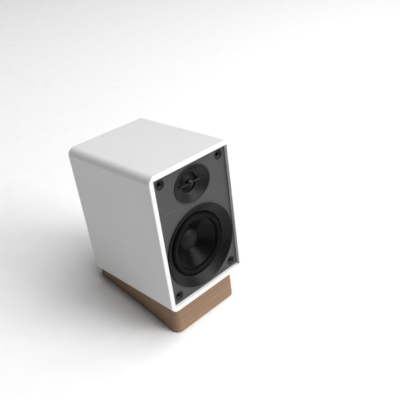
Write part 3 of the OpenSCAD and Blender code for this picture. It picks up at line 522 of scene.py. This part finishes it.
LOOKS = {
    "white_lacquer": lacquer(),
    "charcoal_panel": charcoal_paint(),
    "black_board": finish_of("black_foil", (0.028, 0.028, 0.029), 0.55, 0.08, (900, 0.01), (120, 0.01)),
    "black_steel": finish_of("black_oxide", (0.03, 0.03, 0.031), 0.4, grain=(2500, 0.003), Metallic=0.7),
    "wadding": fibre("wadding", (0.8, 0.79, 0.76)),
    "brass": brushed("satin_brass", (0.8, 0.58, 0.26), 0.3, (1, 1, 8)),
    "black_satin_plastic": finish_of("satin_mould", (0.009, 0.009, 0.0092), 0.36, 0.08, (3800, 0.004),
                                     Specular_IOR_Level=0.15),
    "foam": finish_of("closed_foam", (0.03, 0.03, 0.03), 0.9, 0.2, (1500, 0.06)),
    "black_rubber": finish_of("rubber", (0.004, 0.004, 0.004), 0.42, 0.12, (2400, 0.004), (160, 0.006),
                              Specular_IOR_Level=0.06),
    "cone_plastic": finish_of("cone_mould", (0.003, 0.003, 0.0031), 0.32, 0.1, (1800, 0.006), (240, 0.01),
                              Specular_IOR_Level=0.08),
    "cap_plastic": finish_of("cap_mould", (0.01, 0.01, 0.0102), 0.5, 0.08, (2600, 0.005),
                             Specular_IOR_Level=0.15),
    "former": finish_of("polyimide", (0.6, 0.36, 0.1), 0.3, 0.1, (800, 0.003)),
    "copper": wound("copper_winding", (0.75, 0.32, 0.14), 0.28, Metallic=0.9),
    "spider_cloth": woven("spider_cloth", (0.5, 0.33, 0.1), 0.7, 0.8, 0.05, 0.2),
    "zinc_steel": brushed("zinc_plate", (0.62, 0.62, 0.61), 0.34, (6, 1, 1)),
    "ferrite": finish_of("ferrite", (0.06, 0.06, 0.063), 0.6, 0.25, (700, 0.03)),
    "tag_board": finish_of("phenolic", (0.32, 0.19, 0.08), 0.5, 0.2, (1800, 0.01)),
    "black_gloss_plastic": finish_of("gloss_mould", (0.02, 0.02, 0.021), 0.36, 0.08, (1500, 0.0006),
                                     (200, 0.002), Specular_IOR_Level=0.25),
    "dome_silk": woven("dome_silk", (0.005, 0.005, 0.0055), 0.42, 0.6, 0.02),
    "black_plastic": finish_of("grained_mould", (0.014, 0.014, 0.0145), 0.5, 0.1, (1700, 0.02),
                               Specular_IOR_Level=0.25),
    "wire_red": finish_of("red_insulation", (0.45, 0.02, 0.02), 0.38, 0.12, (900, 0.004)),
    "light_pipe": finish_of("smoked_pipe", (0.11, 0.11, 0.108), 0.3, 0.1, (2000, 0.002)),
    "circuit_board": circuit_board("green_board", (0.01, 0.09, 0.035), (0.02, 0.16, 0.06)),
    "black_metal": finish_of("powder_coat", (0.026, 0.026, 0.027), 0.5, 0.1, (1300, 0.02)),
    "aluminium": brushed("extruded_aluminium", (0.78, 0.79, 0.8), 0.3, (1, 12, 1)),
    "transformer": finish_of("varnished_core", (0.1, 0.075, 0.05), 0.35, 0.3, (600, 0.03)),
    "capacitor": finish_of("can_sleeve", (0.02, 0.025, 0.1), 0.3, 0.1, (900, 0.004)),
    "nickel": brushed("nickel_plate", (0.78, 0.75, 0.7), 0.16, (1, 1, 6), 0.001),
    "red_plastic": finish_of("red_mould", (0.42, 0.012, 0.014), 0.3, 0.08, (1500, 0.001)),
    "oak": oak(),
}
# painted light: the black satin moulding made twice as light for the waveguide, standing in for the light
# that falls on it
GUIDE_MOULD_PAINTED_LIGHT = finish_of("guide_mould_painted_light", (0.019, 0.019, 0.0192), 0.38, 0.08, (3800, 0.004),
                        Specular_IOR_Level=0.16)
PRINT = finish_of("white_print", (0.7, 0.7, 0.69), 0.5, 0.05, (2500, 0.002))
JACK_COLOURS = {
    "left": finish_of("jack_black", (0.03, 0.03, 0.032), 0.4, 0.08, (1500, 0.002)),
    "middle": finish_of("jack_white", (0.72, 0.72, 0.7), 0.4, 0.05, (1500, 0.002)),
    "right": finish_of("jack_red", (0.45, 0.015, 0.015), 0.4, 0.08, (1500, 0.002)),
}
SLOT_OF = {part["node"]: part["material_slot"] for part in frame["record"]["subparts"]}


def soften(node, edge):
    """Rounds the edges of a carried-over CAD node by edge mm and gives it its finish."""
    piece = frame["nodes"][node]
    piece.data.materials.clear()
    piece.data.materials.append(LOOKS[SLOT_OF[node]])
    weld = piece.modifiers.new("weld", "WELD")
    weld.merge_threshold = 0.002 * MM
    if edge:
        flat_angle, edge_angle = 0.5, 35
        flat = piece.modifiers.new("flat faces", "DECIMATE")
        flat.decimate_type = "DISSOLVE"
        flat.angle_limit = math.radians(flat_angle)
        bevel = piece.modifiers.new("edges", "BEVEL")
        bevel.width = edge * MM
        bevel.segments = 3
        bevel.limit_method = "ANGLE"
        bevel.angle_limit = math.radians(edge_angle)
        bevel.harden_normals = False
    weigh_normals(piece)


def stand_in(name, shape, node, body="cabinet", finish=None, **more):
    """A piece that stands for one CAD node and has its finish, or another one."""
    return put(name, *shape, finish or LOOKS[SLOT_OF[node]], body, (node,), SLOT_OF[node], **more)


# ---------- cabinet ----------

def cabinet():
    shell = Extent("cabinet_shell")
    baffle = Extent("front_baffle")
    board = Extent("rear_board")
    half_w, half_h, depth = shell.x1, shell.z1, shell.y1
    edge_r = 11.5
    gap = 0.1
    wall = 15
    soft = 0.9
    crisp = 0.45
    fillet = 6
    square = 0.4
    rim = half_w - baffle.x1 - gap

    def ring(inset, y):
        """The outline pulled in by inset from the outer face, at the depth y. Pocket corners are square."""
        corner = square if inset > rim - crisp - 0.01 else edge_r - inset
        return half_w - inset, half_h - inset, corner, y

    def quarter(inset, y, r, start):
        """Rings along a quarter circle of radius r about (inset, y), from the angle start."""
        turns = [math.radians(start + 90 * k / fillet) for k in range(fillet + 1)]
        return [ring(inset + r * math.cos(t), y + r * math.sin(t)) for t in turns]

    rings = [
        *quarter(soft, depth - soft, soft, 90),
        *quarter(soft, soft, soft, 180),
        *quarter(rim - crisp, crisp, crisp, 270),
        ring(rim, baffle.y1), ring(wall, baffle.y1), ring(wall, board.y0), ring(rim, board.y0),
        *quarter(rim - crisp, depth - crisp, crisp, 0),
    ]
    loops = [[(u, y, v) for u, v in round_rect(a, b, r)] for a, b, r, y in rings]
    stand_in("cabinet", ([p for loop in loops for p in loop], skin(loops, closed=True)), "cabinet_shell")


cabinet()

# ---------- woofer ----------


def flexing(name, shape, node):
    """A ring that stands for a CAD node, joined to no body, with its placement baked into its points."""
    piece = put(name, *shape, LOOKS[SLOT_OF[node]], None, (node,), SLOT_OF[node])
    middle = Extent(node)
    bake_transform(piece)


def trim_ring(trim):
    """Dished ring: a shallow hollow from the rounded outer lip down to the surround."""
    baffle = Extent("front_baffle")
    groove_r = trim.hole + 0.35
    dish_y = 12.2
    dish_bend = 1.12
    lip = 0.7
    body_r = 60.8
    steps = 14
    dish = []
    for k in range(steps + 1):
        t = k / steps
        across = groove_r + 0.3 + (trim.r - 1.2 - groove_r) * t
        dish.append((across, dish_y - (dish_y - trim.y0) * t ** dish_bend))
    profile = rounded([
        (groove_r, dish_y + 0.5, 0.3), *dish, (trim.r, trim.y0, lip), (trim.r, baffle.y0),
        (body_r, baffle.y0), (body_r, trim.y1), (groove_r, trim.y1),
    ])
    stand_in("woofer_trim", revolve(profile, trim.x, trim.z, LARGE), "woofer_trim_ring")


def surround_roll(x, z):
    """Half roll of rubber: flat lips, small fillets and a round crown."""
    surround = Extent("woofer_surround")
    roll_r = surround.y1 - surround.y0
    roll_mid = 44.1
    inner_lip_r = 38.6
    thickness = 0.8
    front = surround.y1 - thickness
    fillet = 0.9
    foot_gap = 0.25
    turns = [math.radians(degrees) for degrees in range(172, 7, -6)]
    crown = [(roll_mid + roll_r * math.cos(t), surround.y1 - roll_r * math.sin(t)) for t in turns]
    line = rounded([
        (inner_lip_r, front), (roll_mid - roll_r - foot_gap, front, fillet), *crown,
        (roll_mid + roll_r + foot_gap, front, fillet), (surround.r, front),
    ], closed=False)
    shape = revolve(thickened(line, -thickness), x, z, LARGE)
    flexing("surround_roll", shape, "woofer_surround")


def woofer_cone(x, z):
    """Cone: steeper towards the neck, with a flat lip under the surround."""
    cone = Extent("woofer_cone")
    neck_r, edge_r = cone.hole, 37.9
    lip_y, neck_y = cone.y0, cone.y1 - 1.2
    bend = 0.93
    thickness = 0.7
    steps = 28
    wall = []
    for k in range(steps + 1):
        t = k / steps
        across = neck_r + HAIR + (edge_r - neck_r) * t
        wall.append((across, neck_y - (neck_y - lip_y - HAIR) * t ** bend))
    profile = thickened([*wall, (cone.r - 0.2, lip_y + HAIR)], -thickness)
    stand_in("cone", revolve(profile, x, z, LARGE), "woofer_cone", "woofer_diaphragm", sharp=40)


def dust_cap(x, z):
    """A dome with a narrow glued rim."""
    cap = Extent("woofer_dust_cap")
    rim_t, thickness = 0.15, 0.6
    dome = dome_line(cap.r, cap.y0, cap.y1, share=0.985)
    profile = thickened([*dome, (cap.r, cap.y1 - rim_t)], -thickness)
    shape = revolve(profile, x, z, MEDIUM)
    stand_in("dust_cap", shape, "woofer_dust_cap", "woofer_diaphragm", sharp=40)


def spider_cloth(x, z):
    """The corrugated cloth behind the cone."""
    spider = Extent("woofer_spider")
    waves, height, thickness = 4, 0.9, 0.5
    ledge = 33.5
    steps = 64
    back = spider.y1 - 0.6
    line = []
    for k in range(steps + 1):
        wave = (1 - math.cos(math.tau * waves * k / steps)) / 2
        line.append((spider.hole + (ledge - spider.hole) * k / steps, back - height * wave))
    line.append((spider.r, back))
    shape = revolve(thickened(line, -thickness), x, z, MEDIUM)
    flexing("spider_cloth", shape, "woofer_spider")


def woofer():
    trim = Extent("woofer_trim_ring")
    trim_ring(trim)
    for piece in (surround_roll, woofer_cone, dust_cap, spider_cloth):
        piece(trim.x, trim.z)


# ---------- tweeter ----------


THROAT_Y = 14
SILK_T = 0.3


def waveguide(guide):
    """An elliptical lip that flows into the round throat."""
    baffle = Extent("front_baffle")
    x, z = guide.x, guide.z
    a, b = guide.r, (guide.z1 - guide.z0) / 2
    throat_r = guide.hole
    barrel_r, step_y = 24.5, 12
    seat = 1.6
    mouth = 1.3
    mouth_y = guide.y0 + 0.1
    edge_r = 0.6
    flare = 1.4
    rings = [(a - seat, b - seat, step_y), (a - seat, b - seat, baffle.y0), (a, b, baffle.y0)]
    fillet = 5
    for k in range(fillet + 1):
        turn = math.radians(90 * k / fillet)
        inset = edge_r * (1 - math.cos(turn))
        rings.append((a - inset, b - inset, guide.y0 + edge_r * (1 - math.sin(turn))))
    steps = 26
    for k in range(steps + 1):
        s = 1 - k / steps
        depth = mouth_y + (THROAT_Y - mouth_y) * (1 - s ** flare)
        rings.append((throat_r + (a - mouth - throat_r) * s, throat_r + (b - mouth - throat_r) * s, depth))
    rings += [(throat_r, throat_r, guide.y1), (barrel_r, barrel_r, guide.y1), (barrel_r, barrel_r, step_y)]
    loops = [[(x + u, y, z + v) for u, v in ellipse(p, q)] for p, q, y in rings]
    shape = [p for loop in loops for p in loop], skin(loops, closed=True)
    # the waveguide takes the lighter copy of the black moulding, which is painted light
    stand_in("waveguide", shape, "tweeter_waveguide", finish=GUIDE_MOULD_PAINTED_LIGHT)


def phase_bullet(x, z):
    """A bullet on a bar whose ends turn down onto the waveguide."""
    plug = Extent("phase_plug")
    bullet_r, pointed = 5.4, 1.15
    base = plug.y0 + 7.9
    nose = []
    steps = 16
    for k in range(steps + 1):
        t = k / steps
        across = bullet_r * math.sin(t * math.pi / 2) ** pointed
        nose.append((across, plug.y0 + (base - 1 - plug.y0) * t))
    profile = rounded([*nose, (bullet_r - 0.1, base - 0.3, 0.3), (0, base)], closed=False)
    leg = 1.3
    bar_y0, bar_y1 = plug.y0 + 5.2, plug.y0 + 7.4
    bar_half_w = 0.8
    half = plug.r
    staple = rounded([
        (-half, bar_y0, 0.5), (half, bar_y0, 0.5), (half, THROAT_Y), (half - leg * 2, THROAT_Y),
        (half - leg * 2, bar_y1, 0.5), (leg * 2 - half, bar_y1, 0.5), (leg * 2 - half, THROAT_Y),
        (-half, THROAT_Y),
    ])
    verts, faces = plate(staple, z - bar_half_w, z + bar_half_w, 0.25)
    bar = [(u, v, w) for u, w, v in verts]
    shape = joined(revolve(profile, x, z, SMALL, closed=False), (bar, faces))
    stand_in("phase_bullet", shape, "phase_plug", sharp=40)


def silk_dome(x, z):
    dome = Extent("tweeter_dome")
    shape = revolve(thickened(dome_line(dome.r, dome.y0, dome.y1), -SILK_T), x, z, SMALL)
    stand_in("silk_dome", shape, "tweeter_dome", "tweeter_diaphragm", sharp=40)


def dome_roll(x, z, throat_r):
    """The rolled edge that carries the dome."""
    rim = Extent("tweeter_suspension")
    roll_in, roll_out = rim.hole, throat_r - 0.25
    tucked = 0.35
    rim_y = rim.y1 - 0.4
    roll_mid, roll_r = (roll_in + roll_out) / 2, (roll_out - roll_in) / 2
    lip_y = Extent("tweeter_voice_coil").y0 - 0.2
    start, end = math.asin((rim.y1 - lip_y) / roll_r), math.radians(165)
    steps = 14
    turns = [start + (end - start) * k / steps for k in range(steps + 1)]
    line = [(roll_in - tucked, lip_y)]
    line += [(roll_mid - roll_r * math.cos(t), rim.y1 - roll_r * math.sin(t)) for t in turns]
    line += [(roll_out + 0.3, rim_y), (rim.r, rim_y)]
    shape = revolve(thickened(line, -SILK_T), x, z, SMALL)
    flexing("dome_roll", shape, "tweeter_suspension")


def tweeter():
    guide = Extent("tweeter_waveguide")
    waveguide(guide)
    phase_bullet(guide.x, guide.z)
    silk_dome(guide.x, guide.z)
    dome_roll(guide.x, guide.z, guide.hole)


woofer()
tweeter()

# ---------- small parts on the front ----------


def front_details():
    sockets = Extent("grille_sockets")
    lights = Extent("indicator_lights")
    baffle = Extent("front_baffle")
    socket_r, draft, bore_r = 7.5, 0.15, 2.5
    bore_end = baffle.y0 + 10
    front = sockets.y0
    cup = rounded([
        (0, sockets.y1), (socket_r - draft, sockets.y1), (socket_r, front + 0.3, 0.25),
        (socket_r - 0.5, front, 0.3), (socket_r - 1.6, front, 0.4), (socket_r - 2.3, front + 1.1, 0.4),
        (bore_r + 0.1, front + 3.1, 0.5), (bore_r, front + 4), (bore_r, bore_end), (0, bore_end),
    ], closed=False)
    reach_x, reach_z = sockets.x1 - socket_r, sockets.z1 - socket_r
    corners = [(i * reach_x, j * reach_z) for i in (-1, 1) for j in (-1, 1)]
    stand_in("sockets", repeated(revolve(cup, steps=72, closed=False), corners), "grille_sockets")

    r = lights.z1 - lights.z
    pipe = rounded([(0, lights.y1), (r, lights.y1), (r, lights.y0, 0.3), (0, lights.y0)], closed=False)
    row = [(lights.x0 + r, lights.z), (lights.x, lights.z), (lights.x1 - r, lights.z)]
    stand_in("lights", repeated(revolve(pipe, steps=32, closed=False), row), "indicator_lights")


front_details()

# ---------- rear ----------


def port():
    tube = Extent("port_tube")
    bore, wall = tube.hole, 2
    flare = 8
    plate_y = tube.y1 - 2
    steps = 12

    def quarter(radius):
        """A quarter circle about the flare's middle, from the tube's wall out to its flange."""
        turns = [math.radians(90 * k / steps) for k in range(steps + 1)]
        return [(bore + flare - radius * math.cos(t), tube.y1 - flare + radius * math.sin(t)) for t in turns]

    mouth = quarter(flare)
    hidden = quarter(flare - wall)
    profile = rounded([
        (bore + 0.01, tube.y0, 0.8), *mouth, (tube.r, tube.y1, 0.7), (tube.r, plate_y),
        *hidden[::-1], (bore + wall, tube.y0, 0.8),
    ])
    stand_in("port", revolve(profile, tube.x, tube.z), "port_tube")


def knob():
    body = Extent("volume_knob")
    x, z = body.x, body.z
    outer, ribs, rib_depth = body.r, 36, 0.45
    top, hollow_r = body.y1 - 0.6, 7.5

    def ribbed(r, y, turn):
        """Grooves in the side that fade out over the edge of the top."""
        share = max(0.0, min(1.0, (r - outer + 1.2) / 0.6))
        return r - rib_depth * share * max(0.0, math.cos(ribs * turn)) ** 0.7

    profile = rounded([
        (hollow_r, body.y0, 0.3), (outer, body.y0, 0.5), (outer, top - 0.9), (outer - 0.9, top, 0.5),
        (outer - 2.2, top, 0.4), (outer - 2.6, top - 0.35, 0.3), (0, top - 0.55), (0, top - 4),
        (hollow_r, top - 5),
    ], closed=False)
    shape = revolve(profile, x, z, 12 * ribs, radius_at=ribbed)
    stand_in("knob", shape, "volume_knob", "volume_control")
    pointer = at(x, z + outer / 2 + 0.7, round_rect(0.55, outer / 2 - 1.9, 0.5, 6))
    put("knob_pointer", *plate(pointer, top - 0.5, top + 0.05, 0.15), PRINT, "volume_control")


def scale_marks():
    """Printed dots around the volume knob, larger at both ends and in the middle."""
    body, plate_y = Extent("volume_knob"), Extent("amp_plate").y1
    ring_r, dots, sweep = body.r + 3.2, 11, 300
    large, small = 0.75, 0.5
    shapes = []
    for k in range(dots):
        turn = math.radians(90 + sweep / 2 - sweep * k / (dots - 1))
        size = large if k in (0, dots // 2, dots - 1) else small
        film = [(0, plate_y + 0.04), (size, plate_y + 0.03), (size, plate_y - HAIR), (0, plate_y - HAIR)]
        place = body.x + ring_r * math.cos(turn), body.z + ring_r * math.sin(turn)
        shapes.append(revolve(film, *place, 24, closed=False))
    put("volume_scale", *joined(*shapes), PRINT)


def posts():
    for colour in ("red", "black"):
        node = "post_cap_" + colour
        cap = Extent(node)
        stem_r, flutes, flute_depth = 3.05, 12, 0.75

        def fluted(r, y, turn):
            """Flutes in the side, above the plain collar at the root."""
            share = max(0.0, min(1.0, r - cap.r + 2)) * (y > cap.y0 + 1.5)
            return r - flute_depth * share * max(0.0, math.cos(flutes * turn)) ** 1.5

        profile = rounded([
            (stem_r, cap.y0, 0.2), (cap.r - 1.3, cap.y0, 0.3), (cap.r, cap.y0 + 0.8, 0.4),
            (cap.r, cap.y0 + 1.4), (cap.r, cap.y0 + 1.9), (cap.r, cap.y1 - 1.2, 0.5),
            (cap.r - 1, cap.y1, 0.5), (4.4, cap.y1, 0.2), (4.2, cap.y1 - 0.5, 0.2), (stem_r, cap.y1 - 0.6),
        ])
        shape = revolve(profile, cap.x, cap.z, 24 * flutes, radius_at=fluted)
        stand_in("binding_cap_" + colour, shape, node, node)


def jack_rings():
    """Coloured insulating rings at the root of each phono barrel."""
    plate_y = Extent("amp_plate").y1
    barrel_r = 4.15
    jacks = Extent("rca_jacks", lambda point: point.y > plate_y + 2)
    inner, outer, top = barrel_r + 0.05, barrel_r + 1.5, plate_y + 1.2
    places = {"left": jacks.x0 + barrel_r, "middle": jacks.x, "right": jacks.x1 - barrel_r}
    for name, x in places.items():
        ring = rounded([(inner, plate_y), (inner, top, 0.2), (outer, top, 0.5), (outer, plate_y)])
        put("jack_ring_" + name, *revolve(ring, x, jacks.z, TINY), JACK_COLOURS[name])


port()
knob()
scale_marks()
posts()
jack_rings()

# ---------- stand ----------


def map_grain(piece, outline):
    """UV map in metres: around the walls of a block with this outline, and straight over its flat faces."""
    n = len(outline)
    outline = [Vector(p) for p in outline]
    run = [0.0]
    for a, b in zip(outline, outline[1:] + outline[:1]):
        run.append(run[-1] + (b - a).length * MM)
    uv = piece.data.uv_layers.new(name="UVMap")
    for face in piece.data.polygons:
        flat = abs(face.normal.dot(UP)) > 0.7
        wraps = {0, n - 1} <= {i % n for i in face.vertices}
        for loop in face.loop_indices:
            index = piece.data.loops[loop].vertex_index
            place = TO_CABINET @ piece.data.vertices[index].co * MM
            step = n if wraps and index % n == 0 else index % n
            uv.data[loop].uv = (place.y, place.x) if flat else (run[step], place.z)


def wedge():
    """The wooden wedge: upright walls around a rounded outline, a level foot and a leaning top."""
    body = Extent("stand_wedge")
    corner, corner_steps = 11, 12
    soft, fillet = 0.9, 4
    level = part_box("stand_wedge")[0].z
    half_w, half_l = body.r, (body.y1 - body.y0) / 2

    def foot_at(y):
        """Height in the cabinet's frame where the level underside crosses the depth y."""
        base = CABINET @ Vector((0, y, 0))
        return (level - base.z) / (UP.z * MM)

    rings = []
    for top in (False, True):
        for k in range(fillet + 1):
            turn = math.radians(90 * k / fillet)
            inset, rise = soft * (1 - math.sin(turn)), soft * (1 - math.cos(turn))
            if top:
                inset, rise = rise, inset
            loop = []
            for u, v in round_rect(half_w - inset, half_l - inset, corner - inset, corner_steps):
                y = body.y + v
                loop.append((u, y, body.z1 - rise if top else foot_at(y) + rise))
            rings.append(loop)
    n = len(rings[0])
    faces = skin(rings)
    faces += [tuple(range(n)), tuple(range((len(rings) - 1) * n, len(rings) * n))[::-1]]
    piece = stand_in("wedge", ([p for loop in rings for p in loop], faces), "stand_wedge")
    map_grain(piece, round_rect(half_w, half_l, corner, corner_steps))


def feet():
    low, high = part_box("stand_feet")
    radius, top = 7, high.z / MM
    shapes = []
    for x in (low.x / MM + radius, high.x / MM - radius):
        for y in (low.y / MM + radius, high.y / MM - radius):
            profile = rounded([
                (0, top), (radius, top), (radius, 0, 0.6), (radius - 1.2, 0, 0.4),
                (radius - 1.8, 0.4, 0.3), (0, 0.4),
            ], closed=False)
            verts, faces = revolve(profile, x, y, TINY, closed=False)
            shapes.append(([(u, w, v) for u, v, w in verts], faces))
    stand_in("feet", joined(*shapes), "stand_feet", place=UPRIGHT)


wedge()
feet()

# ---------- carried-over nodes ----------

EDGES = {
    "front_baffle": 0.3, "rear_board": 0.3, "amp_plate": 0.3, "rear_screws": 0.3, "power_rocker": 0.3,
    "rocker_housing": 0.35, "mains_inlet": 0.3, "aux_jack": 0.3, "rca_jacks": 0.2, "post_insulators": 0.3,
    "post_stems": 0.3, "source_button": 0.5, "stand_pad": 0.2, "stand_bolts": 0.3, "pot_nut": 0.2,
    "heat_sink": 0.2, "transformer": 0.8, "volume_pot": 0.3,
}
stood_for = {node for piece in bpy.data.objects for node in piece.get("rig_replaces", [])}
for cad_node in frame["nodes"]:
    if cad_node not in stood_for:
        soften(cad_node, EDGES.get(cad_node, 0))

# ---------- stage, light and camera ----------


def stage():
    floor = bpy.data.meshes.new("floor")
    reach = 6
    corners = [(i * reach, j * reach, 0) for i, j in ((-1, -1), (1, -1), (1, 1), (-1, 1))]
    floor.from_pydata(corners, [], [(0, 1, 2, 3)])
    ground = bpy.data.objects.new("floor", floor)
    bpy.context.scene.collection.objects.link(ground)
    floor.materials.append(finish_of("pale_floor", (0.93, 0.93, 0.93), 0.8, 0.01, (300, 0.002)))


def lamp(name, place, aim, size, power):
    """A soft square light at a place, turned towards aim."""
    data = bpy.data.lights.new(name, "AREA")
    data.shape = "SQUARE"
    data.size = size
    data.energy = power
    light = bpy.data.objects.new(name, data)
    light.location = place
    light.rotation_euler = (Vector(aim) - Vector(place)).to_track_quat("-Z", "Y").to_euler()
    bpy.context.scene.collection.objects.link(light)


def studio():
    world = bpy.data.worlds.new("studio")
    world.use_nodes = True
    sky = world.node_tree.nodes["Background"]
    sky.inputs["Color"].default_value = (1, 1, 1, 1)
    sky.inputs["Strength"].default_value = 0.06
    bpy.context.scene.world = world
    middle = (0, 0, 0.13)
    lamp("overhead", (1.1, -0.7, 4.0), middle, 4.0, 195)
    lamp("key", (1.6, -2.7, 1.9), middle, 1.9, 74)
    bpy.context.scene.view_settings.view_transform = "Standard"


def camera():
    data = bpy.data.cameras.new("camera")
    data.lens = 50
    data.sensor_width = 36
    data.clip_start = 0.01
    eye = bpy.data.objects.new("camera", data)
    eye.location = (-0.43577, -0.52842, 0.64866)
    eye.rotation_euler = [math.radians(turn) for turn in (54.575, 0.084, -44.919)]
    bpy.context.scene.collection.objects.link(eye)
    bpy.context.scene.camera = eye


stage()
studio()
camera()
